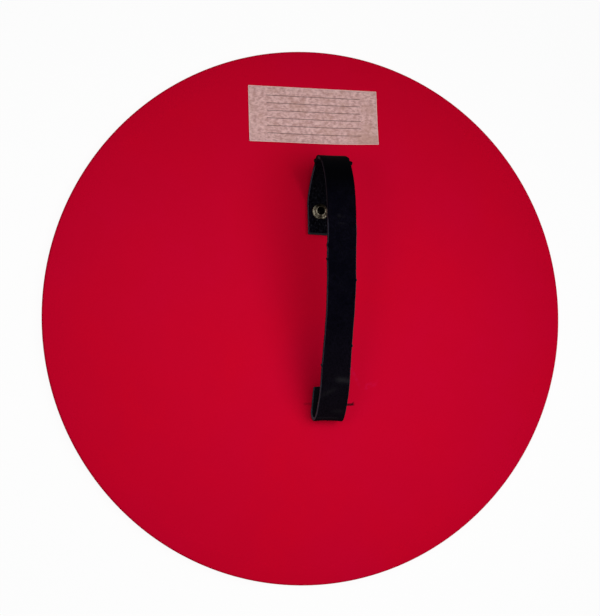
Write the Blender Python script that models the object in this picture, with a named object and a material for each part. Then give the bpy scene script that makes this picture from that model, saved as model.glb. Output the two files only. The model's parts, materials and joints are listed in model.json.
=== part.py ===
"""Round toy shield, lying on its front: a painted board, a riveted leather hand strap and a paper label.

Lengths are in metres. The origin is the middle of the front face, which lies on the plane Z = 0.
+Z points out of the back of the shield, +Y towards its label, and +X to the right of the label.
"""

import math

import bmesh
import bpy
from mathutils import Vector

MM = 0.001

# Board
BOARD_DIAMETER = 320 * MM
BOARD_THICKNESS = 6 * MM
BOARD_EDGE_ROUND = 1.5 * MM

# Paper label, glued to the back near the top of the board
LABEL_WIDTH = 80.5 * MM
LABEL_HEIGHT = 34 * MM
LABEL_THICKNESS = 0.2 * MM
LABEL_FROM_RIM = 22.5 * MM
LABEL_FROM_MIDDLE = -1.3 * MM
LABEL_GLUE_GAP = 0.1 * MM

# Tubular rivets: a flush head in the front, a hollow shank, and an end rolled over the leather
RIVET_SPACING = 115 * MM
RIVETS_ABOVE_MIDDLE = 4.7 * MM
RIVET_SHANK_DIAMETER = 5 * MM
RIVET_BORE_DIAMETER = 4 * MM
RIVET_FLOOR = 3 * MM
RIVET_HEAD_DIAMETER = 9 * MM
RIVET_HEAD_DEPTH = 1.6 * MM
RIVET_HEAD_RIM = 0.4 * MM
RIVET_HEAD_SINK = 0.3 * MM
RIVET_ROLL_DIAMETER = 9.2 * MM
RIVET_ROLL_HEIGHT = 2 * MM

# Leather strip of the strap, and the tabs that its rivets hold
STRAP_WIDTH = 15.3 * MM
STRAP_THICKNESS = 2.2 * MM
STRAP_EDGE_ROUND = 0.4 * MM
UPPER_TAB_LENGTH = 13.4 * MM
LOWER_TAB_LENGTH = 11 * MM
FLAT_PAST_ROLL = 0.3 * MM

# Side shape of the strap's middle line: heights above the back face, reaches along Y
LOOP_REACH = 27.5 * MM
LOOP_TIP_HEIGHT = 26 * MM
GRIP_HEIGHT = 47.3 * MM
CREST_SETBACK = 2 * MM
SHOULDER_REACH = 17 * MM
SHOULDER_HEIGHT = 25.8 * MM
SHOULDER_SLOPE = math.radians(19)
FOLD_REACH = 3.7 * MM
FOLD_RADIUS = 4.9 * MM
FOLD_SLOPE = math.radians(44)

# How far each curve of that line runs on in its end's direction before it turns
RISE_START_PULL = 4 * MM
RISE_END_PULL = 8.5 * MM
CROWN_START_PULL = 11 * MM
CROWN_END_PULL = 18 * MM
BAND_START_PULL = 30 * MM
BAND_END_PULL = 33 * MM
HEEL_START_PULL = 11 * MM
HEEL_END_PULL = 8 * MM

# Where the strip is parted so that the grip can move: it leans about the line through both necks, and is
# pressed towards the board about the lower neck. Necks are heights of the middle line above the back face
UPPER_NECK_HEIGHT = 8 * MM
LOWER_NECK_HEIGHT = 17 * MM
CROWN_CUT_BELOW_CREST = 5 * MM
CUT_GAP = 0.6 * MM

# Gap between pieces that rest on or pass through each other
CLEARANCE = 0.3 * MM

# Mesh fineness
BOARD_SEGMENTS = 192
BOARD_EDGE_STEPS = 3
RIVET_SEGMENTS = 40
ROLL_POINTS = 9
CURVE_POINTS = 18
FOLD_POINTS = 14
STRAP_EDGE_STEPS = 1
SHARP_ANGLE = math.radians(35)
WELD = 0.001 * MM

BOARD_RADIUS = BOARD_DIAMETER / 2
SHANK_RADIUS = RIVET_SHANK_DIAMETER / 2
HOLE_RADIUS = SHANK_RADIUS + CLEARANCE
UPPER_RIVET_Y = RIVETS_ABOVE_MIDDLE + RIVET_SPACING / 2
LOWER_RIVET_Y = RIVETS_ABOVE_MIDDLE - RIVET_SPACING / 2
TAB_MIDDLE_HEIGHT = CLEARANCE + STRAP_THICKNESS / 2


def clear_scene():
    for item in list(bpy.data.objects):
        bpy.data.objects.remove(item)


def surface(name, colour, roughness, metallic=0.0):
    """A plain material with the piece's colour, roughness and metallic value."""
    material = bpy.data.materials.new(name)
    material.use_nodes = True
    shader = material.node_tree.nodes["Principled BSDF"]
    shader.inputs["Base Color"].default_value = (*colour, 1.0)
    shader.inputs["Roughness"].default_value = roughness
    shader.inputs["Metallic"].default_value = metallic
    return material


def placed(name, shape, material=None, location=(0.0, 0.0, 0.0)):
    """Turns a bmesh into a named, smooth-shaded object of the scene."""
    bmesh.ops.recalc_face_normals(shape, faces=shape.faces)
    mesh = bpy.data.meshes.new(name)
    shape.to_mesh(mesh)
    shape.free()
    mesh.shade_smooth()
    mesh.set_sharp_from_angle(angle=SHARP_ANGLE)
    if material:
        mesh.materials.append(material)
    piece = bpy.data.objects.new(name, mesh)
    piece.location = location
    bpy.context.scene.collection.objects.link(piece)
    return piece


def cut_away(piece, name, shape, location):
    """Cuts a shape out of a piece with a Boolean; the cutter stays as a hidden guide."""
    cutter = placed(name, shape, location=location)
    cutter.hide_render = True
    cutter.display_type = "WIRE"
    boolean = piece.modifiers.new(name, "BOOLEAN")
    boolean.operation = "DIFFERENCE"
    boolean.object = cutter


def eased(piece, width, steps):
    """Rounds the piece's sharp edges."""
    bevel = piece.modifiers.new("eased_edges", "BEVEL")
    bevel.width = width
    bevel.segments = steps
    bevel.limit_method = "ANGLE"
    bevel.angle_limit = SHARP_ANGLE


def turned(profile):
    """A body of revolution about Z, from (radius, height) points that start and end on the axis."""
    shape = bmesh.new()
    points = [shape.verts.new((radius, 0.0, height)) for radius, height in profile]
    edges = [shape.edges.new(pair) for pair in zip(points, points[1:])]
    bmesh.ops.spin(
        shape,
        geom=points + edges,
        cent=(0.0, 0.0, 0.0),
        axis=(0.0, 0.0, 1.0),
        angle=math.tau,
        steps=RIVET_SEGMENTS,
        use_merge=True,
    )
    bmesh.ops.remove_doubles(shape, verts=shape.verts, dist=WELD)
    return shape


def plate(width, height, thickness):
    """A flat rectangular plate, standing on Z = 0."""
    shape = bmesh.new()
    bmesh.ops.create_cube(shape, size=1.0)
    bmesh.ops.scale(shape, vec=(width, height, thickness), verts=shape.verts)
    bmesh.ops.translate(shape, vec=(0.0, 0.0, thickness / 2), verts=shape.verts)
    return shape


def rivet_hole():
    """The countersunk hole that a rivet takes through the board, open past both faces."""
    head_radius = RIVET_HEAD_DIAMETER / 2 + CLEARANCE
    rim_top = RIVET_HEAD_SINK + RIVET_HEAD_RIM
    seat_top = RIVET_HEAD_SINK + RIVET_HEAD_DEPTH + CLEARANCE
    return turned(
        [
            (0.0, BOARD_THICKNESS + CLEARANCE),
            (HOLE_RADIUS, BOARD_THICKNESS + CLEARANCE),
            (HOLE_RADIUS, seat_top),
            (head_radius, rim_top),
            (head_radius, -CLEARANCE),
            (0.0, -CLEARANCE),
        ]
    )


def board():
    """The painted disc, with its edges rounded over and the two rivet holes cut through it."""
    shape = bmesh.new()
    bmesh.ops.create_cone(
        shape,
        cap_ends=True,
        segments=BOARD_SEGMENTS,
        radius1=BOARD_RADIUS,
        radius2=BOARD_RADIUS,
        depth=BOARD_THICKNESS,
    )
    bmesh.ops.translate(shape, vec=(0.0, 0.0, BOARD_THICKNESS / 2), verts=shape.verts)
    disc = placed("shield_board", shape, surface("red_paint", (0.50, 0.005, 0.022), 0.5))
    eased(disc, BOARD_EDGE_ROUND, BOARD_EDGE_STEPS)
    for end, rivet_y in (("upper", UPPER_RIVET_Y), ("lower", LOWER_RIVET_Y)):
        cut_away(disc, f"{end}_rivet_hole", rivet_hole(), (0.0, rivet_y, 0.0))


def label():
    """The paper label, level on the back face below the top of the rim."""
    middle_y = BOARD_RADIUS - LABEL_FROM_RIM - LABEL_HEIGHT / 2
    placed(
        "paper_label",
        plate(LABEL_WIDTH, LABEL_HEIGHT, LABEL_THICKNESS),
        surface("kraft_paper", (0.52, 0.34, 0.25), 0.85),
        (LABEL_FROM_MIDDLE, middle_y, BOARD_THICKNESS + LABEL_GLUE_GAP),
    )


def rivet(name, rivet_y, brass):
    """A tubular rivet: flush head, shank through board and leather, hollow end rolled over the tab."""
    bore_radius = RIVET_BORE_DIAMETER / 2
    head_radius = RIVET_HEAD_DIAMETER / 2
    seat = BOARD_THICKNESS + 2 * CLEARANCE + STRAP_THICKNESS
    roll_middle = (RIVET_ROLL_DIAMETER / 2 + bore_radius) / 2
    roll_half_width = (RIVET_ROLL_DIAMETER / 2 - bore_radius) / 2
    profile = [
        (0.0, RIVET_HEAD_SINK),
        (head_radius, RIVET_HEAD_SINK),
        (head_radius, RIVET_HEAD_SINK + RIVET_HEAD_RIM),
        (SHANK_RADIUS, RIVET_HEAD_SINK + RIVET_HEAD_DEPTH),
        (SHANK_RADIUS, seat),
    ]
    for step in range(ROLL_POINTS):
        turn = math.pi * step / (ROLL_POINTS - 1)
        radius = roll_middle + roll_half_width * math.cos(turn)
        profile.append((radius, seat + RIVET_ROLL_HEIGHT * math.sin(turn)))
    profile += [(bore_radius, RIVET_FLOOR), (0.0, RIVET_FLOOR)]
    placed(name, turned(profile), brass, (0.0, rivet_y, 0.0))


def curve(start, start_heading, start_pull, end, end_heading, end_pull):
    """Points of a cubic curve between two places with given headings, without its first point."""
    leave = start + start_pull * start_heading
    arrive = end - end_pull * end_heading
    points = []
    for step in range(1, CURVE_POINTS + 1):
        t = step / CURVE_POINTS
        s = 1 - t
        points.append(s**3 * start + 3 * s * s * t * leave + 3 * s * t * t * arrive + t**3 * end)
    return points


def heading(angle):
    """The unit vector in the (Y, height) plane at an angle from +Y."""
    return Vector((math.cos(angle), math.sin(angle)))


def strap_line():
    """The strap's middle line as (Y, height) points, from the upper tab's free end to the lower tab's."""
    roll_radius = RIVET_ROLL_DIAMETER / 2
    tab_end = Vector((UPPER_RIVET_Y - UPPER_TAB_LENGTH, TAB_MIDDLE_HEIGHT))
    flat_end = Vector((UPPER_RIVET_Y + roll_radius + FLAT_PAST_ROLL, TAB_MIDDLE_HEIGHT))
    tip = Vector((UPPER_RIVET_Y + LOOP_REACH, LOOP_TIP_HEIGHT))
    crest = Vector((UPPER_RIVET_Y - CREST_SETBACK, GRIP_HEIGHT))
    shoulder = Vector((LOWER_RIVET_Y + SHOULDER_REACH, SHOULDER_HEIGHT))
    fold_middle = Vector((LOWER_RIVET_Y - FOLD_REACH, TAB_MIDDLE_HEIGHT + FOLD_RADIUS))
    outward, inward, up = heading(0), heading(math.pi), heading(math.pi / 2)
    downhill = heading(math.pi + SHOULDER_SLOPE)
    heel_heading = heading(math.pi + FOLD_SLOPE)
    # The fold turns the strap from its heel's heading, round the tip at -Y, on to the lower tab.
    first_turn = math.pi / 2 + FOLD_SLOPE
    turn_step = (math.pi - FOLD_SLOPE) / FOLD_POINTS
    fold_turns = [first_turn + turn_step * step for step in range(FOLD_POINTS + 1)]
    fold = [fold_middle + FOLD_RADIUS * heading(turn) for turn in fold_turns]
    line = [tab_end, flat_end]
    line += curve(flat_end, outward, RISE_START_PULL, tip, up, RISE_END_PULL)
    line += curve(tip, up, CROWN_START_PULL, crest, inward, CROWN_END_PULL)
    line += curve(crest, inward, BAND_START_PULL, shoulder, downhill, BAND_END_PULL)
    line += curve(shoulder, downhill, HEEL_START_PULL, fold[0], heel_heading, HEEL_END_PULL)
    line += fold[1:]
    line.append(Vector((LOWER_RIVET_Y + LOWER_TAB_LENGTH, TAB_MIDDLE_HEIGHT)))
    return line


def crossing(line, height, rising):
    """Where the line passes a height, rising or falling: the index of the point before, and the place."""
    for index, (before, after) in enumerate(zip(line, line[1:])):
        low, high = (before, after) if rising else (after, before)
        if low.y < height <= high.y:
            share = (height - before.y) / (after.y - before.y)
            return index, before.lerp(after, share)
    raise ValueError("the strap's middle line does not pass that height")


def square_to(direction):
    """The direction a quarter turn to the left of a direction in the (Y, height) plane."""
    return Vector((-direction.y, direction.x))


def parted(line, cuts):
    """The stretches of a line between cuts: the points of each, and the direction across the leather there.

    A cut is (index, point, direction): the end faces on both sides of it lie square to the direction,
    half a gap from the point. Points of the line that are too near for such a face are left out.
    """
    stretches = []
    begin, starts = 0, []
    for index, point, direction in [*cuts, (len(line) - 1, None, None)]:
        run = line[begin : index + 1]
        ends = starts if point is None else [*starts, (-1, point, direction)]
        for _, cut_point, _ in ends:
            run = [place for place in run if (place - cut_point).length > STRAP_THICKNESS]
        for end, cut_point, cut_direction in ends:
            face_middle = cut_point + cut_direction * ((-1 if end else 1) * CUT_GAP / 2)
            run.insert(len(run) if end else 0, face_middle)
        across = inner_normals(run)
        for end, _, cut_direction in ends:
            square = square_to(cut_direction)
            across[end] = square / square.dot(across[end])
        stretches.append((run, across))
        begin, starts = index + 1, [(0, point, direction)]
    return stretches


def inner_normals(line):
    """The direction across the leather, towards the inside of the loop, at each point of a line."""
    normals = []
    for index in range(len(line)):
        along = line[min(index + 1, len(line) - 1)] - line[max(index - 1, 0)]
        normals.append(square_to(along.normalized()))
    return normals


def swept(line, across, middle):
    """Leather of the strap's width and thickness along a line, measured from the point `middle`."""
    shape = bmesh.new()
    rings = []
    for point, offset in zip(line, across):
        ring = []
        for side, face in ((-1, -1), (1, -1), (1, 1), (-1, 1)):
            place = point + offset * (face * STRAP_THICKNESS / 2) - middle
            ring.append(shape.verts.new((side * STRAP_WIDTH / 2, *place)))
        rings.append(ring)
    for first, second in zip(rings, rings[1:]):
        for k in range(len(first)):
            after = (k + 1) % len(first)
            shape.faces.new((first[k], first[after], second[after], second[k]))
    shape.faces.new(rings[0])
    shape.faces.new(rings[-1])
    return shape


def strap():
    """The leather strip, parted where it gives way: two riveted tabs, the upper bend and the grip."""
    line = strap_line()
    upper_index, upper_neck = crossing(line, UPPER_NECK_HEIGHT, rising=True)
    crown_index, crown_cut = crossing(line, GRIP_HEIGHT - CROWN_CUT_BELOW_CREST, rising=True)
    lower_index, lower_neck = crossing(line, LOWER_NECK_HEIGHT, rising=False)
    lean_axis = (upper_neck - lower_neck).normalized()
    crown_heading = (line[crown_index + 1] - line[crown_index]).normalized()
    cuts = [
        (upper_index, upper_neck, lean_axis),
        (crown_index, crown_cut, crown_heading),
        (lower_index, lower_neck, -lean_axis),
    ]
    # Each piece is measured from a point of its own joint, or from the middle of the back face.
    pieces = (
        ("strap_upper_tab", Vector((0.0, 0.0))),
        ("strap_upper_bend", upper_neck),
        ("strap_grip", lower_neck),
        ("strap_lower_tab", Vector((0.0, 0.0))),
    )
    back_face = Vector((0.0, BOARD_THICKNESS))
    leather = surface("black_leather", (0.006, 0.006, 0.009), 0.6)
    made = {}
    for (name, middle), (run, across) in zip(pieces, parted(line, cuts)):
        made[name] = placed(name, swept(run, across, middle), leather, (0.0, *(middle + back_face)))
        eased(made[name], STRAP_EDGE_ROUND, STRAP_EDGE_STEPS)
    for end, rivet_y in (("upper", UPPER_RIVET_Y), ("lower", LOWER_RIVET_Y)):
        reach = STRAP_THICKNESS + 2 * CLEARANCE
        punch = turned([(0.0, reach), (HOLE_RADIUS, reach), (HOLE_RADIUS, 0.0), (0.0, 0.0)])
        cut_away(made[f"strap_{end}_tab"], f"{end}_tab_hole", punch, (0.0, rivet_y, BOARD_THICKNESS))
    pivot = lower_neck + back_face
    print(f"grip turns about (0, {pivot.x:.6f}, {pivot.y:.6f})")
    print(f"lean axis (0, {lean_axis.x:.6f}, {lean_axis.y:.6f})")


def main():
    clear_scene()
    board()
    label()
    brass = surface("aged_brass", (0.36, 0.27, 0.14), 0.4, metallic=1.0)
    rivet("upper_rivet", UPPER_RIVET_Y, brass)
    rivet("lower_rivet", LOWER_RIVET_Y, brass)
    strap()


main()
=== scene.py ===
"""Looks of a round toy shield lying on its front: painted board, paper label, brass rivets, leather strap.

Lengths are in metres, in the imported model's frame: +Z points out of the shield's back, +Y to its label.
Patterns are laid out in millimetres, in each piece's own "place_mm" attribute. Colours are linear.
"""

import functools
import json
import math

import bmesh
import bpy
import numpy as np
from mathutils import Matrix, Vector, kdtree, noise


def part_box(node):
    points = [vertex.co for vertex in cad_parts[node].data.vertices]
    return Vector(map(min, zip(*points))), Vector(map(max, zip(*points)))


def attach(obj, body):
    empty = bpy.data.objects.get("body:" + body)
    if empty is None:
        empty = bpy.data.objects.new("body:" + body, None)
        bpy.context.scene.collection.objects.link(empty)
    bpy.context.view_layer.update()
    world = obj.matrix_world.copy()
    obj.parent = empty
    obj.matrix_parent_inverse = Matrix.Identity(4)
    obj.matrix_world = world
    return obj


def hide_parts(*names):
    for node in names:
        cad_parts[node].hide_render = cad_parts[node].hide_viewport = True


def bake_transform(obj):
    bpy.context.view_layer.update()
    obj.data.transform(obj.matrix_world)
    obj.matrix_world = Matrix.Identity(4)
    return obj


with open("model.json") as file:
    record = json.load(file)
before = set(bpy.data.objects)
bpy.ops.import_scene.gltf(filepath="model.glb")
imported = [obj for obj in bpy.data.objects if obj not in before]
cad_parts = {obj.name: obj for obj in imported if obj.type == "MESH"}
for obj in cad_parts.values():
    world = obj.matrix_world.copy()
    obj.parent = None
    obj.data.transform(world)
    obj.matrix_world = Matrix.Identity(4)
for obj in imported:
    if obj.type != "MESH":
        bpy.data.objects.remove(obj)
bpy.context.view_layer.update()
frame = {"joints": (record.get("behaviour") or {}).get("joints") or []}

MM = 0.001
PLACE = "place_mm"
WEAR_AND_LIGHT = "wear_and_light"

# Places taken from the frame
BOARD_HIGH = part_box("shield_board")[1]
LABEL_LOW, LABEL_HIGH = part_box("paper_label")
TAB_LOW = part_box("strap_upper_tab")[0]
BEND_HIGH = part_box("strap_upper_bend")[1]
GRIP_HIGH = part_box("strap_grip")[1]
HEEL_LOW, HEEL_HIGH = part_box("strap_lower_tab")
BACK = BOARD_HIGH.z
RIVETS = {end: sum(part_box(f"{end}_rivet"), Vector()) / 2 for end in ("upper", "lower")}

# Surfaces
SURFACES = {
    # specular level, roughness from and to, depth of the bumps
    "red_paint": (0.012, (0.52, 0.68), 0.03 * MM),
    "kraft_paper": (0.03, (0.8, 0.95), 0.03 * MM),
    "leather_grain": (0.006, (0.5, 0.66), 0.05 * MM),
    "leather_flesh": (0.006, (0.8, 0.95), 0.15 * MM),
    "leather_edge": (0.012, (0.75, 0.9), 0.1 * MM),
    "aged_brass": (0.5, (0.32, 0.55), 0.03 * MM),
}
FLESH_SHEEN = 0.005

# Colours of the paint and the pencil
RED_WARM = (0.572, 0.0004, 0.0185)
RED_COOL = (0.553, 0.0004, 0.0245)
RED_CLOUDED = (0.545, 0.0004, 0.0205)
RED_ROLLED = (0.535, 0.0006, 0.02)
RED_SCUFFED = (0.6, 0.01, 0.1)
PENCIL = (0.035, 0.002, 0.006)

# Colours of the paper and the ruled lines
PAPER_BROWN = (0.47, 0.265, 0.25)
PAPER_PALE = (0.79, 0.52, 0.5)
PAPER_CLOUDED = (0.52, 0.295, 0.255)
PAPER_STAINED = (0.45, 0.25, 0.19)
PAPER_SPECKED = (0.36, 0.18, 0.14)
PAPER_CUT = (0.76, 0.5, 0.48)
INK = (0.06, 0.042, 0.036)

# Colours of the leather's grain side, flesh side and cut edge
GRAIN_DEEP = (0.0007, 0.0006, 0.0026)
GRAIN_GREY = (0.0022, 0.0019, 0.0048)
# painted shade on the upper stretch of the grain, painted sheen on its lower stretch
GRAIN_PAINTED_SHADE = (0.0003, 0.0003, 0.0008)
GRAIN_PAINTED_SHEEN = (0.0047, 0.0035, 0.0061)
GRAIN_FURROWED = (0.0002, 0.0002, 0.0004)
GRAIN_WORN_AND_LIT = (0.03, 0.029, 0.032)
FLESH_DEEP = (0.0002, 0.0002, 0.0008)
FLESH_NAPPED = (0.0026, 0.0026, 0.0048)
FLESH_PAINTED_LIGHT = (0.006, 0.006, 0.008)
FLESH_FLECKED = (0.008, 0.008, 0.011)
FLESH_TUFTED = (0.02, 0.02, 0.024)
FLESH_FRAYED = (0.016, 0.017, 0.02)
EDGE_DYED = (0.0012, 0.0012, 0.0022)
EDGE_DARK = (0.017, 0.018, 0.027)
EDGE_PALE = (0.044, 0.046, 0.064)
EDGE_WORN = (0.048, 0.05, 0.069)

# Colours of the rivets
# Dark patina, which is also painted shade on top of each roll; rubbed brass, which is also painted light on
# the roll's left and lower right
PATINA_AND_SHADE = (0.012, 0.009, 0.006)
RUBBED_AND_LIT_BRASS = (0.19, 0.171, 0.126)

# Board, and the marks on its back
BOARD_EDGE_ROUND = 1.5 * MM
BOARD_SEGMENTS = 288
BOARD_RINGS = 16
EDGE_STEPS = 7
MARKS_FADE = (1.5, 0.5)
STROKE_CORE = 0.4
STROKE_TAPER = 2
PENCIL_STROKES = (
    # start, end and breadth in millimetres, strength
    ((-11.5, -52.45), (0, -53.1), 1.1, 0.28),
    ((0, -54.1), (17.5, -54.14), 1.0, 0.95),
    ((17.3, -53.7), (18.0, -53.2), 0.55, 0.8),
)
SCUFFS = (
    # start, end and breadth in millimetres, strength
    ((17.6, -33), (19, -36), 3, 0.2),
    ((28, -43.5), (31, -42.5), 2.4, 0.2),
)

# Label: its grid, and how its cut and its lie differ from a true flat sheet
LABEL_COLUMNS = 96
LABEL_ROWS = 40
LABEL_TRIM_X = 0.45 * MM
LABEL_TRIM_Y = 0.25 * MM
LABEL_SKEW = 0.4 * MM
LOW_EDGE_RISE = 0.3 * MM
LOW_EDGE_SLANT = 0.45 * MM
LOW_EDGE_BOW = 0.6 * MM
LOW_EDGE_LEAN = 1.5
CURL = 0.5 * MM
CORNER_CURL_POWERS = (6, 5)
EDGE_CURL_POWER = 8
RIPPLE = 0.04 * MM
RIPPLE_COUNTS = (12, 5)
RIPPLE_SEED = 0.3

# Ruled lines and stained corner of the label, in millimetres
LINES = 6
LINE_PITCH = 4.6
LINE_MARGIN = 5.5
LINE_SIDE_MARGIN = 11.0
LINE_HALF_BREADTHS = (0.3, 0.12)
LINES_LEAD = 0.5
LINES_SPARE = 1
LINES_SOFTNESS = 0.2
STAINED_CORNER_X = (24, 8)
STAINED_CORNER_Y = (11, 4)
CUT_BREADTH = 0.5
CUT_SOFTNESS = 0.35

# Rivets: radii, and heights above the front face
SHANK_RADIUS = 2.5 * MM
BORE_RADIUS = 2.3 * MM
BORE_FLOOR = 3.0 * MM
HEAD_RADIUS = 4.5 * MM
HEAD_SINK = 0.3 * MM
HEAD_RIM = 0.4 * MM
HEAD_DEPTH = 1.6 * MM
HEAD_BEVEL = 0.5 * MM
HEAD_BEVEL_RISE = 0.2 * MM
SEAT_GAP = 0.1 * MM
RIVET_SEGMENTS = 120
RIVET_SHARP = math.radians(60)
ROLL_ROWS = (
    # outside of the rolled end: how far in from its rim, how far over its seat, in millimetres
    (0.5, -0.1),
    (0.1, 0.0),
    (0.0, 0.25),
    (0.12, 0.55),
    (0.45, 0.75),
    (0.8, 0.85),
    (1.2, 1.1),
)
MOUTH_ROWS = (
    # round its mouth: how far out from the bore, how far below the lip, in millimetres
    (0.9, 0.35),
    (0.6, 0.06),
    (0.35, 0.0),
    (0.12, 0.12),
    (0.0, 0.5),
)
BORE_TAPERS = (0.2 * MM, 0.3 * MM, 0.6 * MM)
BORE_CORNER = 0.4 * MM

# Rivet holes
HOLE_PLAY = 0.3 * MM
HOLE_SEGMENTS = 64
CUT_PAST = 1 * MM
TAB_HOLE_PLAY = 0.15 * MM
TAB_HOLE_HEIGHT = 5 * MM
TAB_HOLE_SEGMENTS = 48

# How the rivets' rolled ends are beaten, split and rubbed, with painted light and shade round each roll
FLARE_START = 0.05 * MM
FLARE_FADE = 0.2 * MM
FLARE_UNEVEN = 0.12 * MM
FLARE_UNEVEN_SCALE = 1.6
FLARE_SWELL = 0.4 * MM
FLARE_TRIM = 0.1 * MM
MOUTH_SHIFT = 0.3 * MM
LIP_TILT = 0.12 * MM
LIP_TILT_TURN = 2.4
SPLIT_SINK = 0.9
SPLIT_EDGE = 0.05
SPLIT_FADE = 0.2
SPLIT_TURNS = {"upper": -28, "lower": 130}
SPLITS = (
    # turn past the first one, how far out of the bore it starts, half breadth at the bore and at the rim
    (0.0, 0.15, 0.06, 0.2),
    (-1.45, 0.55, 0.03, 0.09),
)
RUBBED_AND_LIT_TURNS = (
    # where round the roll it is painted bright, rubbed and lit, and how far to each side, in degrees
    (190, 80),
    (312, 40),
    (2, 24),
)
BORE_WALL = 0.1 * MM
ROLL_RIDGE = (0.25 * MM, 0.45 * MM)
MOUTH_RIDGE = (0.5 * MM, 0.4 * MM)
# the least brightness round the roll: painted shade where it is not lit
LEAST_RUBBED_AND_LIT = 0.04
OFF_RIDGE_RUBBED = 0.5
HEAD_RUBBED = (0.35, 0.45)
HEAD_RUBBED_POWER = 6
HIDDEN_RUBBED = 0.02

# Leather strip
STRAP_THICKNESS = 2.2 * MM
STRAP_EDGE_ROUND = 0.35 * MM
LOOP_TIP_HEIGHT = 26 * MM
CREST_SETBACK = 2 * MM
SHOULDER_REACH = 17 * MM
SHOULDER_HEIGHT = 25.8 * MM
SHOULDER_SLOPE = math.radians(19)
FOLD_RADIUS = 4.9 * MM
FOLD_SLOPE = math.radians(44)
FLAT_PAST_RIVET = 4.9 * MM
RISE_PULLS = (4 * MM, 8.5 * MM)
CROWN_PULLS = (11 * MM, 18 * MM)
BAND_PULLS = (30 * MM, 33 * MM)
HEEL_PULLS = (11 * MM, 8 * MM)

# The strip isn't quite true: how far its edges reach from its middle line at some places along it, in
# millimetres from the upper tab's free end, and how far its right edge is rolled outwards at places along Y
REACH_ALONG = (20, 32, 45, 55, 70, 85, 110, 125, 135, 155, 170, 185, 207, 216, 227, 234, 247)
LEFT_REACH = (7.4, 7.45, 7.2, 7.9, 8.25, 8.5, 8.3, 8.4, 7.95, 7.8, 8.2, 8.65, 8.28, 8.15, 8.45, 7.95, 7.5)
RIGHT_REACH = (7.6, 7.85, 7.95, 7.95, 7.5, 7.4, 7.85, 7.9, 8.35, 8.35, 8.0, 8.05, 8.56, 8.98, 8.7, 8.6, 8.0)
ROLL_Y = (-60 * MM, 10 * MM, 80 * MM)
STRAP_ROLLS = tuple(math.radians(turn) for turn in (-4, -1.7, -2.4))
LOWER_TAB_YAW = math.radians(5.7)
LOWER_TAB_TRIM = 0.45 * MM
LOWER_TAB_SLANT = math.tan(math.radians(8))
UPPER_TAB_EXTRA = 0.6 * MM
UPPER_TAB_SLANT = math.tan(math.radians(3.4))
SLANT_LENGTH = 6 * MM
TIP_YAW = math.radians(2.9)
TIP_SETBACK = 0.75 * MM
FOLD_SETBACK = 0.3 * MM
WAVERS = (
    # how far the cut edges waver, in millimetres, how often to the millimetre, seed
    (0.14, 0.12, 3.1),
    (0.06, 0.7, 7.7),
)
WAVER_SEED = 0.5
FLESH_ROUGHNESS = 0.07 * MM
EDGE_ROUGHNESS = 0.05 * MM
ROUGH_SCALES = (1.3, 0.9)
FACING = 0.9
CUPPING = 1.9 * MM * MM
CREASE_DENT = 0.12 * MM
CREASE_SOFTNESS = 1.5
CREASE_DENT_BREADTH = 1.6

# How finely the strip is drawn
LINE_POINTS = 400
LINE_STEP = 0.1 * MM
RING_STEP = 0.5 * MM
FACE_POINTS = 23
EDGE_POINTS = 6
CORNER_POINTS = 3
END_TURNS = (0.25, math.pi / 2)
END_RINGS = 4
END_CLEARANCE = 1.2
BLUR_POINTS = 101
BLUR_WIDTHS = 2.5
GRAIN, FLESH, EDGE = range(3)

# How the strip is parted: heights over the axis that its loop leans about, and the span of the upper bend,
# tilted back over the grip
SEAM_HEIGHT = 5.5 * MM
LEAN_HEIGHTS = (-6.5 * MM, 4 * MM)
PRESS_HEIGHTS = (7 * MM, 18 * MM)
BEND_TILT = math.radians(40)
BEND_MARGIN = 1.5 * MM
BEND_SPAN = 46 * MM

# Small things along the strip, in millimetres from the upper tab's free end
BURRS = (
    # along, side, reach, length
    (48.8, -1, 0.9, 1.4),
    (63.5, 1, 0.5, 4.0),
    (68.0, 1, 1.4, 1.6),
    (115.9, -1, 0.4, 2.0),
    (123.5, -1, 0.6, 0.9),
    (135.0, 1, 0.5, 0.8),
    (172.5, 1, 0.9, 0.6),
    (184.0, -1, 0.7, 0.8),
)
CREASES_AND_HIGHLIGHT = (
    # along at the middle, slope to the right, breadth, from across, to across, strength
    (100.3, 0.0, 0.8, -2.7, -1.4, 0.22),
    (100.8, 0.0, 0.6, 0.0, 0.8, 0.15),
    (104.3, 0.0, 0.3, -2.7, 1.2, 0.12),
    (192.3, 0.12, 1.5, 0.5, 8.0, 0.32),
    (198.6, -0.5, 1.5, -7.5, 0.0, 0.13),
    (214.0, 0.1, 1.6, 1.0, 7.5, 0.12),
    # a painted highlight line along the top of the lower fold, with a slight dent
    (220.0, 0.0, 0.5, -7.0, 5.0, 0.18),
)
EDGE_TONES_AND_SHADE = (
    # from and to along the strip, softness past them, side (0 for both), strength, tone of the cut fibres
    (0, 20, 8, 0, 0.2, (0.014, 0.014, 0.018)),
    (48, 98, 6, 0, 1.0, (0.0165, 0.0175, 0.0235)),
    # painted shade: the grey fibres along the grip darkened, where the grain-side corner faces up
    (108, 196, 12, 0, 0.6, (0.011, 0.0105, 0.0145)),
    (200, 226, 8, 0, 0.8, (0.07, 0.076, 0.1)),
    (48, 63, 5, 0, 1.0, (0.006, 0.006, 0.007)),
    (57.5, 60.5, 1.7, 0, 0.95, (0.045, 0.047, 0.05)),
    (66.5, 69.5, 1.5, 1, 0.9, (0.004, 0.004, 0.005)),
    (115.4, 116.4, 0.8, -1, 0.7, (0.004, 0.004, 0.005)),
    (123.1, 123.9, 0.8, -1, 0.9, (0.004, 0.004, 0.005)),
)

# Stretches of the strip over which its look fades from one tone to another, in the same millimetres
# painted shade up to the upper bend, and painted sheen towards the lower fold
UPPER_SHADE_STRETCH = (95, 75)
LOWER_SHEEN_STRETCH = (140, 215)
FRAYED_END = (1.3, 0.6)
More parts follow.
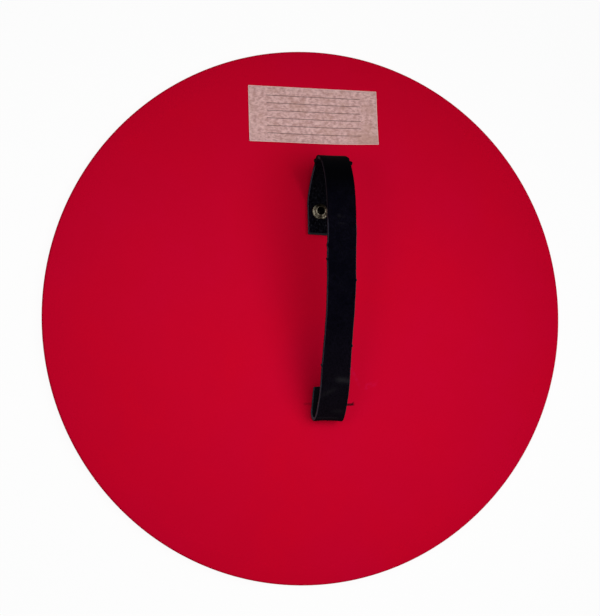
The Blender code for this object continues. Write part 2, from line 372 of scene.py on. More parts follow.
# painted light on the lower tab's flesh
LOWER_TAB_LIGHT_STRETCH = (224, 232)
GRIP_START = (92, 112)
GRIP_EDGE = (108, 190)
GRIP_EDGE_SOFTNESS = 10

# Stage
CAMERA_PLACE = Vector((-121.57 * MM, -9.07 * MM, BACK + 439.46 * MM))
CAMERA_LOOK = Vector((0.2389, 0.0303, -0.9706)).normalized()
CAMERA_UP = Vector((0.0181, 0.9992, 0.0356))
CAMERA_LENS = 44.40
CAMERA_NEAR = 0.01
LAMPS = (
    # name, place, aim, size, power
    ("key", (0.051, -0.021, 0.331), (-0.054, -0.145, BACK), 0.333, 0.929),
    ("fill", (-0.165, 0.031, 0.265), (0.0, 0.0, BACK), 0.104, 0.127),
)
AMBIENT = 0.248
FLOOR_HALF = 3.0
FLOOR_DROP = 0.3 * MM
FLOOR_WHITE = 0.9
FLOOR_GLOW = 0.94


# Materials


class Finish:
    """A material under construction: its Principled shader, and the patterns that drive it."""

    def __init__(self, name, values=()):
        self.material = bpy.data.materials.new(name)
        self.material.use_nodes = True
        self.tree = self.material.node_tree
        self.shader = self.tree.nodes["Principled BSDF"]
        specular, self.rough, self.depth = SURFACES[name]
        for socket, value in {"Specular IOR Level": specular, **dict(values)}.items():
            self.feed(self.shader.inputs[socket], value)
        self.place = self.attribute(PLACE, "Vector")

    def feed(self, socket, value):
        """Links a socket to another one, or sets its value."""
        if isinstance(value, bpy.types.NodeSocket):
            self.tree.links.new(value, socket)
        elif socket.type == "RGBA":
            socket.default_value = (*value, 1.0)
        else:
            socket.default_value = value

    def node(self, kind, inputs, **settings):
        node = self.tree.nodes.new(kind)
        for name, value in settings.items():
            setattr(node, name, value)
        for key, value in dict(inputs).items():
            self.feed(node.inputs[key], value)
        return node

    def attribute(self, name, output):
        return self.node("ShaderNodeAttribute", {}, attribute_name=name).outputs[output]

    def calc(self, operation, *values):
        return self.node("ShaderNodeMath", enumerate(values), operation=operation).outputs[0]

    def product(self, *values):
        return functools.reduce(functools.partial(self.calc, "MULTIPLY"), values)

    def most(self, *values):
        return functools.reduce(functools.partial(self.calc, "MAXIMUM"), values)

    def axis(self, name):
        return self.node("ShaderNodeSeparateXYZ", {0: self.place}).outputs[name]

    def stretched(self, stretch):
        node = self.node("ShaderNodeVectorMath", {0: self.place, 1: stretch}, operation="MULTIPLY")
        return node.outputs[0]

    def noise(self, scale, detail=2.0, stretch=(1.0, 1.0, 1.0)):
        """Soft noise with about `scale` blotches to the millimetre."""
        inputs = {"Vector": self.stretched(stretch), "Scale": scale, "Detail": detail}
        return self.node("ShaderNodeTexNoise", inputs).outputs[0]

    def cells(self, scale):
        """Distance to the nearest of about `scale` scattered points to the millimetre."""
        return self.node("ShaderNodeTexVoronoi", {"Vector": self.place, "Scale": scale}).outputs[0]

    def share(self, value, low, high, full=1.0):
        """0 below `low`, `full` above `high`, smooth between them; falls instead if low is the greater."""
        inputs = {"Value": value, "From Min": low, "From Max": high, "To Max": full}
        return self.node("ShaderNodeMapRange", inputs, interpolation_type="SMOOTHSTEP").outputs[0]

    def spread(self, value, low, high):
        """A 0 to 1 value carried to the range from low to high."""
        return self.node("ShaderNodeMapRange", {"Value": value, "To Min": low, "To Max": high}).outputs[0]

    def mix(self, factor, first, second):
        node = self.node("ShaderNodeMix", {}, data_type="RGBA")
        for index, value in ((0, factor), (6, first), (7, second)):
            self.feed(node.inputs[index], value)
        return node.outputs[2]

    def between(self, value, low, high, soft):
        """1 where a value lies between two limits, fading to 0 over `soft` past them."""
        return self.product(self.share(value, low - soft, low), self.share(value, high + soft, high))

    def stroke(self, start, end, width, strength):
        """The strength on a thin line from one (X, Y) place to another, in millimetres, and 0 off it."""
        slope = (end[1] - start[1]) / (end[0] - start[0])
        drawn = self.calc("MULTIPLY_ADD", self.axis("X"), slope, start[1] - slope * start[0])
        off = self.calc("ABSOLUTE", self.calc("SUBTRACT", self.axis("Y"), drawn))
        near = self.share(off, width, width * STROKE_CORE)
        drawn_on = self.between(self.axis("X"), start[0], end[0], width * STROKE_TAPER)
        return self.product(near, drawn_on, strength)

    def done(self, colour, gloss, relief):
        """The finished material: its colour, a pattern for its roughness and one that raises its surface."""
        bump = self.node("ShaderNodeBump", {"Height": relief, "Distance": self.depth})
        self.feed(self.shader.inputs["Base Color"], colour)
        self.feed(self.shader.inputs["Roughness"], self.spread(gloss, *self.rough))
        self.feed(self.shader.inputs["Normal"], bump.outputs[0])
        return self.material


def red_paint():
    """Matt red paint, rolled on; on the back a pencil line under the lower rivet and a few faint scuffs."""
    finish = Finish("red_paint")
    hues = finish.noise(0.012)
    clouds = finish.noise(0.06, 4.0)
    roller = finish.noise(1.1, 3.0)
    on_back = finish.share(finish.axis("Z"), *[BACK / MM - depth for depth in MARKS_FADE])
    red = finish.mix(finish.share(hues, 0.3, 0.7), RED_WARM, RED_COOL)
    red = finish.mix(finish.share(clouds, 0.35, 0.65, 0.5), red, RED_CLOUDED)
    red = finish.mix(finish.share(roller, 0.35, 0.75, 0.5), red, RED_ROLLED)
    scuffs = finish.most(*[finish.stroke(*scuff) for scuff in SCUFFS])
    patchy = finish.share(finish.noise(0.35), 0.3, 0.7)
    red = finish.mix(finish.product(scuffs, patchy, on_back), red, RED_SCUFFED)
    pencil = finish.most(*[finish.stroke(*stroke) for stroke in PENCIL_STROKES])
    broken = finish.share(finish.noise(1.4, 3.0), 0.2, 0.45)
    red = finish.mix(finish.product(pencil, broken, on_back), red, PENCIL)
    return finish.done(red, roller, roller)


def ruled(finish, across, up, width, height):
    """1 on the ruled lines of a sheet of the given size in millimetres."""
    down = finish.calc("SUBTRACT", height - LINE_MARGIN, up)
    near = finish.share(finish.calc("PINGPONG", down, LINE_PITCH / 2), *LINE_HALF_BREADTHS)
    rows = finish.between(down, -LINES_LEAD, LINE_PITCH * LINES - LINES_SPARE, LINES_SOFTNESS)
    columns = finish.between(across, LINE_SIDE_MARGIN, width - LINE_SIDE_MARGIN, LINES_SOFTNESS)
    return finish.product(near, rows, columns)


def kraft_paper():
    """Recycled brown paper with long fibres and specks, ruled with plain write-in lines."""
    finish = Finish("kraft_paper")
    width = (LABEL_HIGH.x - LABEL_LOW.x) / MM
    height = (LABEL_HIGH.y - LABEL_LOW.y) / MM
    across = finish.axis("X")
    up = finish.axis("Y")
    blotches = finish.noise(0.5, 5.0, (0.8, 1.0, 1.0))
    fibres = finish.noise(1.2, 4.0, (0.4, 1.0, 1.0))
    mottle = finish.calc("MULTIPLY_ADD", blotches, 0.6, finish.calc("MULTIPLY", fibres, 0.4))
    paper = finish.mix(finish.share(mottle, 0.34, 0.66), PAPER_BROWN, PAPER_PALE)
    clouds = finish.share(finish.noise(0.2, 4.0), 0.45, 0.7, 0.42)
    paper = finish.mix(clouds, paper, PAPER_CLOUDED)
    stains = finish.share(finish.noise(0.07, 4.0), 0.5, 0.66, 0.35)
    right = finish.share(across, *[width - margin for margin in STAINED_CORNER_X])
    corner = finish.product(right, finish.share(up, *STAINED_CORNER_Y), finish.spread(blotches, 0.1, 0.9))
    paper = finish.mix(finish.most(stains, corner), paper, PAPER_STAINED)
    specks = finish.share(finish.cells(0.9), 0.16, 0.06, 0.5)
    paper = finish.mix(specks, paper, PAPER_SPECKED)
    inside_x = finish.between(across, CUT_BREADTH, width - CUT_BREADTH, CUT_SOFTNESS)
    inside_y = finish.between(up, CUT_BREADTH, height - CUT_BREADTH, CUT_SOFTNESS)
    paper = finish.mix(finish.product(inside_x, inside_y), PAPER_CUT, paper)
    ink = finish.product(ruled(finish, across, up, width, height), finish.spread(fibres, 0.4, 1.0))
    return finish.done(finish.mix(ink, paper, INK), fibres, fibres)


def leather_grain():
    """The smooth outer side of the strip: black, nearly matt, finely pebbled, greyer where worn, with
    painted shade and sheen.
    """
    finish = Finish("leather_grain")
    along = finish.axis("Y")
    pebbles = finish.cells(1.6)
    clouds = finish.noise(0.09, 3.0)
    smudges = finish.noise(0.4, 3.0)
    patches = finish.calc("MULTIPLY_ADD", clouds, 0.5, finish.calc("MULTIPLY", smudges, 0.5))
    black = finish.mix(finish.share(patches, 0.36, 0.64), GRAIN_DEEP, GRAIN_GREY)
    # Painted shade: the grain darker up to the upper bend
    black = finish.mix(finish.share(along, *UPPER_SHADE_STRETCH), black, GRAIN_PAINTED_SHADE)
    # Painted sheen: the grain lighter towards the lower fold
    black = finish.mix(finish.share(along, *LOWER_SHEEN_STRETCH), black, GRAIN_PAINTED_SHEEN)
    black = finish.mix(finish.share(pebbles, 0.35, 0.7, 0.6), black, GRAIN_FURROWED)
    # Worn creases grey the grain, and one row of them paints a highlight line above the lower fold
    worn = finish.product(finish.attribute(WEAR_AND_LIGHT, "Fac"), finish.spread(smudges, 0.5, 1.3))
    return finish.done(finish.mix(worn, black, GRAIN_WORN_AND_LIT), clouds, pebbles)


def leather_flesh():
    """The rough inner side: black nap with paler fibres in it, more of them at the cut end, painted lighter
    on the lower tab.
    """
    finish = Finish("leather_flesh", {"Sheen Weight": FLESH_SHEEN})
    along = finish.axis("Y")
    nap = finish.noise(1.5, 4.0, (1.0, 0.55, 1.0))
    flecks = finish.share(finish.noise(0.9, 3.0, (1.0, 0.7, 1.0)), 0.5, 0.72)
    tufts = finish.share(finish.cells(0.35), 0.3, 0.12)
    black = finish.mix(finish.share(nap, 0.36, 0.62), FLESH_DEEP, FLESH_NAPPED)
    # Painted light: the flesh lighter on the lower tab, which lies in the heel's shade
    black = finish.mix(finish.share(along, *LOWER_TAB_LIGHT_STRETCH), black, FLESH_PAINTED_LIGHT)
    black = finish.mix(flecks, black, FLESH_FLECKED)
    black = finish.mix(finish.product(tufts, flecks), black, FLESH_TUFTED)
    black = finish.mix(finish.share(along, *FRAYED_END), black, FLESH_FRAYED)
    return finish.done(black, nap, nap)


def leather_edge():
    """The raw cut edge: dyed leather, grey fibres by the flesh at the ends and by the grain on the grip,
    darkened there as painted shade.
    """
    finish = Finish("leather_edge")
    along = finish.axis("Y")
    through = finish.axis("Z")
    layers = finish.noise(1.2, 3.0, (1.0, 0.25, 3.0))
    worn = finish.share(finish.noise(0.3, 3.0), 0.3, 0.7)
    grey = finish.mix(layers, EDGE_DARK, EDGE_PALE)
    grey = finish.mix(worn, grey, EDGE_WORN)
    for begin, end, soft, side, strength, shade in EDGE_TONES_AND_SHADE:
        place = finish.product(finish.between(along, begin, end, soft), strength)
        if side:
            place = finish.product(place, finish.share(finish.axis("X"), 0, 2 * side))
        grey = finish.mix(place, grey, shade)
    on_grip = finish.between(along, *GRIP_EDGE, GRIP_EDGE_SOFTNESS)
    bare = finish.calc("MULTIPLY_ADD", finish.share(along, *GRIP_START), 0.4, through)
    bare = finish.calc("MULTIPLY_ADD", on_grip, 0.5, bare)
    # the edge darker towards the flesh side along the grip
    darker_by_flesh = finish.product(on_grip, finish.share(through, 0.0, 0.7))
    fibrous = finish.product(finish.share(bare, -0.85, -0.35), finish.spread(darker_by_flesh, 1.0, 0.25))
    return finish.done(finish.mix(fibrous, EDGE_DYED, grey), layers, layers)


def aged_brass():
    """Antique brass: a brown patina, rubbed bright on the roll's high parts, with painted light and shade
    round it.
    """
    finish = Finish("aged_brass", {"Metallic": 1.0})
    blotches = finish.noise(0.9, 4.0)
    bright = finish.product(finish.attribute(WEAR_AND_LIGHT, "Fac"), finish.share(blotches, 0.25, 0.65))
    return finish.done(finish.mix(bright, PATINA_AND_SHADE, RUBBED_AND_LIT_BRASS), blotches, finish.noise(2.5, 3.0))


# Helpers for shapes


def eased(values, low, high):
    """0 below low, 1 above high, smooth between them."""
    share = np.clip((np.asarray(values) - low) / (high - low), 0, 1)
    return share * share * (3 - 2 * share)


def linked(name, points, faces, materials, kinds=None, sharp=math.radians(40)):
    """A smooth-shaded piece from points and faces, turned outwards; kinds are its material indices."""
    mesh = bpy.data.meshes.new(name)
    mesh.from_pydata([tuple(point) for point in points], [], [tuple(face) for face in faces])
    if kinds is not None:
        mesh.polygons.foreach_set("material_index", np.asarray(kinds, np.int32))
    shape = bmesh.new()
    shape.from_mesh(mesh)
    bmesh.ops.recalc_face_normals(shape, faces=shape.faces)
    shape.to_mesh(mesh)
    shape.free()
    for material in materials:
        mesh.materials.append(material)
    mesh.shade_smooth()
    mesh.set_sharp_from_angle(angle=sharp)
    item = bpy.data.objects.new(name, mesh)
    bpy.context.scene.collection.objects.link(item)
    return item


def noted(item, name, kind, values):
    """Writes one value or vector per point to a named attribute of a piece."""
    attribute = item.data.attributes.new(name, kind, "POINT")
    field = "vector" if kind == "FLOAT_VECTOR" else "value"
    attribute.data.foreach_set(field, np.asarray(values, np.float32).ravel())


def points_of(item):
    places = np.empty(len(item.data.vertices) * 3, np.float32)
    item.data.vertices.foreach_get("co", places)
    return places.reshape(-1, 3)


def turned(profile, segments, reshape=None):
    """(points, faces) of a body turned about Z, from (radius, height) rows that begin and end on it."""
    radius, height = np.array(profile, float).T
    turn = np.arange(segments) * math.tau / segments
    radii = np.repeat(radius[1:-1, None], segments, axis=1)
    heights = np.repeat(height[1:-1, None], segments, axis=1)
    if reshape:
        radii, heights = reshape(radii, heights, turn[None, :])
    rings = np.stack([radii * np.cos(turn), radii * np.sin(turn), heights], axis=2)
    points = [(0.0, 0.0, height[0]), *rings.reshape(-1, 3), (0.0, 0.0, height[-1])]
    index = 1 + np.arange(len(rings) * segments).reshape(-1, segments)
    after = np.roll(index, -1, axis=1)
    faces = [(0, b, a) for a, b in zip(index[0], after[0])]
    for row in range(len(rings) - 1):
        faces += zip(index[row], after[row], after[row + 1], index[row + 1])
    faces += [(a, b, len(points) - 1) for a, b in zip(index[-1], after[-1])]
    return np.array(points), faces


def arc(middle, radius, first, last, steps):
    """(radius, height) rows along an arc, both ends included."""
    turns = np.linspace(first, last, steps)
    return [(middle[0] + radius * math.cos(turn), middle[1] + radius * math.sin(turn)) for turn in turns]


def cutter(name, place, profile, segments):
    """A turned shape, upright over a place, to be cut out of a piece."""
    points, faces = turned(profile, segments)
    return linked(name, points + np.array((place.x, place.y, 0.0)), faces, [])


def drilled(item, cutters):
    """Cuts closed shapes out of a piece for good."""
    for shape in cutters:
        boolean = item.modifiers.new("drill", "BOOLEAN")
        boolean.operation = "DIFFERENCE"
        boolean.object = shape
    evaluated = item.evaluated_get(bpy.context.evaluated_depsgraph_get())
    mesh = bpy.data.meshes.new_from_object(evaluated)
    item.modifiers.clear()
    item.data = mesh
    for shape in cutters:
        bpy.data.objects.remove(shape)


# Board and label


def rivet_hole(place):
    """A cutter for the countersunk hole that a rivet takes through the board."""
    hole = SHANK_RADIUS + HOLE_PLAY
    head = HEAD_RADIUS + HOLE_PLAY
    profile = [
        (0, -CUT_PAST),
        (head, -CUT_PAST),
        (head, HEAD_SINK + HEAD_RIM),
        (hole, HEAD_SINK + HEAD_DEPTH + HOLE_PLAY),
        (hole, BACK + CUT_PAST),
        (0, BACK + CUT_PAST),
    ]
    return cutter("rivet_hole", place, profile, HOLE_SEGMENTS)


def board(paint):
    """The painted disc, its edges rounded over, with the two rivet holes."""
    radius = BOARD_HIGH.x
    inner = radius - BOARD_EDGE_ROUND
    steps = [inner * step / BOARD_RINGS for step in range(BOARD_RINGS)]
    bottom = [(step, 0.0) for step in steps]
    rim = arc((inner, BOARD_EDGE_ROUND), BOARD_EDGE_ROUND, -math.pi / 2, 0.0, EDGE_STEPS)
    rim += arc((inner, BACK - BOARD_EDGE_ROUND), BOARD_EDGE_ROUND, 0.0, math.pi / 2, EDGE_STEPS)
    top = [(step, BACK) for step in reversed(steps)]
    points, faces = turned(bottom + rim + top, BOARD_SEGMENTS)
    disc = linked("board", points, faces, [paint])
    drilled(disc, [rivet_hole(place) for place in RIVETS.values()])
    noted(disc, PLACE, "FLOAT_VECTOR", points_of(disc) / MM)
    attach(disc, "shield")
    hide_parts("shield_board")


def sheet_faces(columns, rows):
    """Faces of a closed sheet: a grid of points on top, then the same grid below."""
    count = (columns + 1) * (rows + 1)
    index = np.arange(count).reshape(rows + 1, columns + 1)
    faces = []
    for row in range(rows):
        for column in range(columns):
            quad = index[row : row + 2, column : column + 2].ravel()[[0, 1, 3, 2]]
            faces.append(quad)
            faces.append(quad[::-1] + count)
    rim = np.concatenate([index[0], index[1:, -1], index[-1, -2::-1], index[-2:0:-1, 0]])
    faces += [(a, b, b + count, a + count) for a, b in zip(rim, np.roll(rim, -1))]
    return faces


def label(paper):
    """The glued label: thin wavy paper, its lower edge cut in a slight bow and lifting, most at a corner."""
    across, up = np.meshgrid(np.linspace(0, 1, LABEL_COLUMNS + 1), np.linspace(0, 1, LABEL_ROWS + 1))
    down = 1 - up
    size = LABEL_HIGH - LABEL_LOW
    bow = LOW_EDGE_BOW * np.sin(math.pi * across**LOW_EDGE_LEAN)
    low_edge = LOW_EDGE_RISE + LOW_EDGE_SLANT * across - bow
    x = LABEL_LOW.x + across * (size.x - LABEL_TRIM_X) + LABEL_SKEW * across * down
    y = LABEL_LOW.y + up * (size.y - LABEL_TRIM_Y) + low_edge * down
    corner = across ** CORNER_CURL_POWERS[0] * down ** CORNER_CURL_POWERS[1]
    curl = CURL * corner + CURL * down**EDGE_CURL_POWER
    waves_x, waves_y = RIPPLE_COUNTS
    spots = zip(waves_x * across.ravel(), waves_y * up.ravel())
    ripple = [noise.noise((a, b, RIPPLE_SEED)) for a, b in spots]
    lift = curl + RIPPLE * (1 + np.array(ripple).reshape(across.shape))
    top = np.stack([x, y, LABEL_HIGH.z + lift], axis=2).reshape(-1, 3)
    under = top - np.array((0.0, 0.0, size.z))
    sheet = linked("label", np.concatenate([top, under]), sheet_faces(LABEL_COLUMNS, LABEL_ROWS), [paper])
    flat = np.stack([across.ravel() * size.x, up.ravel() * size.y, np.zeros(across.size)], axis=1) / MM
    noted(sheet, PLACE, "FLOAT_VECTOR", np.concatenate([flat, flat]))
    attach(sheet, "shield")
    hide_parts("paper_label")


# Rivets


def apart(turn, other):
    """The angle between two turns, from 0 to half a turn."""
    return np.abs((turn - other + math.pi) % math.tau - math.pi)


def rubbed_and_lit(turn):
    """How bright a rivet's roll is at a turn, 0 to 1: rubbed, painted light on left and lower right, shade
    on top.
    """
    bright = np.zeros_like(turn)
    for middle, reach in RUBBED_AND_LIT_TURNS:
        away = apart(turn, math.radians(middle))
        bright = np.maximum(bright, 1 - eased(away, math.radians(reach / 2), math.radians(reach)))
    return bright


def split_depth(turn, outer):
    """How deep a rivet's flare is split, 0 to 1, at turns past its first split and shares of the way out."""
    depth = np.zeros(np.broadcast(turn, outer).shape)
    for middle, start, narrow, wide in SPLITS:
        breadth = narrow + (wide - narrow) * outer
        inside = np.clip((breadth - apart(turn, middle)) / SPLIT_EDGE, 0, 1)
        depth = np.maximum(depth, inside * np.clip((outer - start) / SPLIT_FADE, 0, 1))
    return depth


class TubularRivet:
    """The shape of a rivet: flush head, shank, and a hollow end flared, split and rolled over."""

    def __init__(self, end):
        low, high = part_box(f"{end}_rivet")
        self.place = RIVETS[end]
        self.roll = (high.x - low.x) / 2
        self.seat = TAB_LOW.z + STRAP_THICKNESS + HOLE_PLAY
        self.lip = high.z
        self.split = math.radians(SPLIT_TURNS[end])

    def outer(self, radii):
        """How far out radii lie, from 0 at the bore to 1 at the roll's rim."""
        return (radii - BORE_RADIUS) / (self.roll - BORE_RADIUS)

    def profile(self):
        """(radius, height) rows from the middle of the head round the outside and down the bore."""
        rows = [
            (0, HEAD_SINK),
            (HEAD_RADIUS - HEAD_BEVEL, HEAD_SINK),
            (HEAD_RADIUS, HEAD_SINK + HEAD_BEVEL_RISE),
            (HEAD_RADIUS, HEAD_SINK + HEAD_RIM),
            (SHANK_RADIUS, HEAD_SINK + HEAD_DEPTH),
            (SHANK_RADIUS, self.seat - SEAT_GAP),
        ]
        rows += [(self.roll - inset * MM, self.seat + rise * MM) for inset, rise in ROLL_ROWS]
        rows += [(BORE_RADIUS + out * MM, self.lip - drop * MM) for out, drop in MOUTH_ROWS]
        for taper, height in zip(BORE_TAPERS, (self.seat, BORE_FLOOR + BORE_CORNER, BORE_FLOOR)):
            rows.append((BORE_RADIUS - taper, height))
        return [*rows, (0, BORE_FLOOR)]

    def beaten(self, radii, heights, turn):
        """The flare hammered unevenly, with splits in its edge, and with its mouth off its middle."""
        over = heights - self.seat
        flare = np.clip((over + FLARE_START) / FLARE_FADE, 0, 1) * (radii > BORE_RADIUS + FLARE_START)
        outer = np.clip(self.outer(radii), 0, 1)
        circle = FLARE_UNEVEN_SCALE * np.stack([np.cos(turn[0]), np.sin(turn[0])], axis=1)
        uneven = np.array([noise.noise((x, y, self.place.y)) for x, y in circle])
        top = np.clip(over / (self.lip - self.seat), 0, 1)
        gap = split_depth(turn - self.split, outer)
        tilt = LIP_TILT * np.cos(turn - LIP_TILT_TURN) * top
        swell = FLARE_UNEVEN * uneven + FLARE_SWELL * rubbed_and_lit(turn) - FLARE_TRIM
        radii = radii + flare * outer * swell
        radii = radii + MOUTH_SHIFT * np.sin(turn) * top * (1 - outer)
        return radii, heights - flare * gap * over * SPLIT_SINK + tilt * (1 - gap) * flare

    def wear_and_light(self, points):
        """How bright each point is: the roll's ridges and the head's rim most, the bore least; painted light
        and shade round the roll.
        """
        radius = np.hypot(points[:, 0], points[:, 1])
        turn = np.arctan2(points[:, 1], points[:, 0])
        on_roll = np.exp(-(((radius - self.roll + ROLL_RIDGE[0]) / ROLL_RIDGE[1]) ** 2))
        on_mouth = np.exp(-(((radius - BORE_RADIUS - MOUTH_RIDGE[0]) / MOUTH_RIDGE[1]) ** 2))
        ridge = OFF_RIDGE_RUBBED + (1 - OFF_RIDGE_RUBBED) * np.maximum(on_roll, on_mouth)
        gap = split_depth(turn - self.split, self.outer(radius))
        roll_wear_and_light = (LEAST_RUBBED_AND_LIT + (1 - LEAST_RUBBED_AND_LIT) * rubbed_and_lit(turn)) * ridge * (1 - gap)
        head_wear = HEAD_RUBBED[0] + HEAD_RUBBED[1] * (radius / HEAD_RADIUS) ** HEAD_RUBBED_POWER
        outside = (points[:, 2] > self.seat) & (radius > BORE_RADIUS + BORE_WALL)
        head = points[:, 2] < HEAD_SINK + HEAD_DEPTH
        return np.select([outside, head], [roll_wear_and_light, head_wear], HIDDEN_RUBBED)


def rivet(end, brass):
    """One of the two tubular rivets."""
    shape = TubularRivet(end)
    points, faces = turned(shape.profile(), RIVET_SEGMENTS, shape.beaten)
    middle = np.array((shape.place.x, shape.place.y, 0.0))
    item = linked(f"rivet_{end}", points + middle, faces, [brass], sharp=RIVET_SHARP)
    noted(item, PLACE, "FLOAT_VECTOR", points / MM)
    noted(item, WEAR_AND_LIGHT, "FLOAT", shape.wear_and_light(points))
    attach(item, "shield")
    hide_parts(f"{end}_rivet")


# Strap


def heading(angle):
    """The unit vector at an angle from +Y in the (Y, Z) plane."""
    return np.array((math.cos(angle), math.sin(angle)))


def curve(start, start_heading, end, end_heading, pulls):
    """Points of a cubic curve between two places of the (Y, Z) plane, without its first point."""
    t = np.linspace(0, 1, LINE_POINTS + 1)[1:, None]
    s = 1 - t
    leave = start + pulls[0] * start_heading
    arrive = end - pulls[1] * end_heading
    return s**3 * start + 3 * s * s * t * leave + 3 * s * t * t * arrive + t**3 * end


class Strip:
    """The leather strip: its middle line, and the directions across and through it."""

    def __init__(self):
        half = STRAP_THICKNESS / 2
        tab_z = TAB_LOW.z + half
        tab_end = np.array((TAB_LOW.y - UPPER_TAB_EXTRA, tab_z))
        flat_end = np.array((RIVETS["upper"].y + FLAT_PAST_RIVET, tab_z))
        tip = np.array((BEND_HIGH.y - half - TIP_SETBACK, BACK + LOOP_TIP_HEIGHT))
        crest = np.array((RIVETS["upper"].y - CREST_SETBACK, GRIP_HIGH.z - half))
        shoulder = np.array((RIVETS["lower"].y + SHOULDER_REACH, BACK + SHOULDER_HEIGHT))
        fold_middle = np.array((HEEL_LOW.y + half + FOLD_SETBACK + FOLD_RADIUS, tab_z + FOLD_RADIUS))
        turns = np.linspace(math.pi / 2 + FOLD_SLOPE, 3 * math.pi / 2, LINE_POINTS)
        fold = fold_middle + FOLD_RADIUS * np.stack([np.cos(turns), np.sin(turns)], axis=1)
        outward, up, inward = heading(0), heading(math.pi / 2), heading(math.pi)
        downhill = heading(math.pi + SHOULDER_SLOPE)
        parts = {
            "tab": np.array((tab_end, flat_end)),
            "rise": curve(flat_end, outward, tip, up, RISE_PULLS),
            "crown": curve(tip, up, crest, inward, CROWN_PULLS),
            "band": curve(crest, inward, shoulder, downhill, BAND_PULLS),
            "heel": curve(shoulder, downhill, fold[0], heading(math.pi + FOLD_SLOPE), HEEL_PULLS),
            "fold": fold[1:],
            "lower_tab": np.array(((HEEL_HIGH.y - LOWER_TAB_TRIM, tab_z),)),
        }
        line = np.concatenate(list(parts.values()))
        lengths = np.concatenate([[0], np.cumsum(np.linalg.norm(np.diff(line, axis=0), axis=1))])
        lasts = np.cumsum([len(part) for part in parts.values()]) - 1
        self.ends = dict(zip(parts, lengths[lasts]))
        self.length = lengths[-1]
        self.along = np.linspace(0, self.length, round(self.length / LINE_STEP) + 1)
        y = np.interp(self.along, lengths, line[:, 0])
        z = np.interp(self.along, lengths, line[:, 1])
        self.lay(y, z)

    def lay(self, y, z):
        """Works out the strip's directions and bends at each point of its line."""
        in_fold = eased(self.along, self.ends["heel"], self.ends["fold"])[:, None]
        x = in_fold[:, 0] * (y - RIVETS["lower"].y) * math.tan(LOWER_TAB_YAW)
        self.middle = np.stack([x, y, z], axis=1)
        forward = np.gradient(self.middle, self.along, axis=0)
        forward /= np.linalg.norm(forward, axis=1)[:, None]
        risen = eased(self.along, self.ends["tab"], self.ends["rise"])
        roll = np.interp(y, ROLL_Y, STRAP_ROLLS) * risen
        square = np.stack([np.zeros_like(y), -forward[:, 2], forward[:, 1]], axis=1)
        across = np.cos(roll)[:, None] * np.array((1.0, 0.0, 0.0)) + np.sin(roll)[:, None] * square
        at_tip = risen * (1 - eased(self.along, self.ends["rise"], self.ends["crown"]))
        across[:, 1] -= math.tan(TIP_YAW) * at_tip
        at_fold = int(np.searchsorted(self.along, self.ends["heel"]))
        across[at_fold:] = across[at_fold]
        on_tab = np.array((math.cos(LOWER_TAB_YAW), -math.sin(LOWER_TAB_YAW), 0.0))
        across = across * (1 - in_fold) + on_tab * in_fold
        across -= forward * np.sum(across * forward, axis=1)[:, None]
        self.across = across / np.linalg.norm(across, axis=1)[:, None]
        self.inward = np.cross(self.across, forward)
        slant = UPPER_TAB_SLANT * (1 - eased(self.along, 0, SLANT_LENGTH))
        slant -= LOWER_TAB_SLANT * eased(self.along, self.length - SLANT_LENGTH, self.length)
        self.slant = forward * slant[:, None]
        bend = np.linalg.norm(np.gradient(forward, self.along, axis=0), axis=1)
        blur = np.exp(-(np.linspace(-BLUR_WIDTHS, BLUR_WIDTHS, BLUR_POINTS) ** 2))
        self.bend = np.convolve(bend, blur / blur.sum(), mode="same")

    def at(self, values, stations):
        """Values of the line, read at distances along it."""
        if values.ndim == 1:
            return np.interp(stations, self.along, values)
        return np.stack([np.interp(stations, self.along, column) for column in values.T], axis=1)

    def passing(self, origin, direction, height, begin, end):
        """How far along the strip, between two distances, its middle line passes a height over a plane."""
        heights = (self.middle - np.array(origin)) @ np.array(direction)
        inside = (self.along[1:] > begin) & (self.along[1:] < end)
        crossed = (heights[:-1] - height) * (heights[1:] - height) <= 0
        return self.along[1:][inside & crossed][0]


def cross_section():
    """One turn round the leather: each point's place on the core rectangle, outward direction and kind."""
    core, outward, kinds = [], [], []
    sides = (
        # which way the side faces, in degrees from the right edge's way, points along it, kind
        (-90, FACE_POINTS, GRAIN),
        (0, EDGE_POINTS, EDGE),
        (90, FACE_POINTS, FLESH),
        (180, EDGE_POINTS, EDGE),
    )
    for degrees, count, kind in sides:
        turn = math.radians(degrees)
        before = np.sign(np.round(heading(turn - math.pi / 4), 6))
        after = np.sign(np.round(heading(turn + math.pi / 4), 6))
        for step in range(count):
            core.append(before + (after - before) * step / (count - 1))
            outward.append(heading(turn))
            kinds.append(kind if step < count - 1 else EDGE)
        for step in range(1, CORNER_POINTS + 1):
            core.append(after)
            outward.append(heading(turn + math.pi / 2 * step / (CORNER_POINTS + 1)))
            kinds.append(EDGE)
    return np.array(core), np.array(outward), np.array(kinds)


def half_width(stations, side):
    """Distance from the middle to the cut edge on one side, with its wavering and its frayed burrs."""
    along = stations / MM
    half = np.interp(along, REACH_ALONG, RIGHT_REACH if side > 0 else LEFT_REACH) * MM
    for reach, scale, seed in WAVERS:
        waver = [noise.noise((place * scale, seed * side, WAVER_SEED)) for place in along]
        half = half + reach * MM * np.array(waver)
    for middle, burr_side, reach, length in BURRS:
        if burr_side == side:
            half = half + reach * MM * np.exp(-(((along - middle) / (length / 2)) ** 2))
    return half


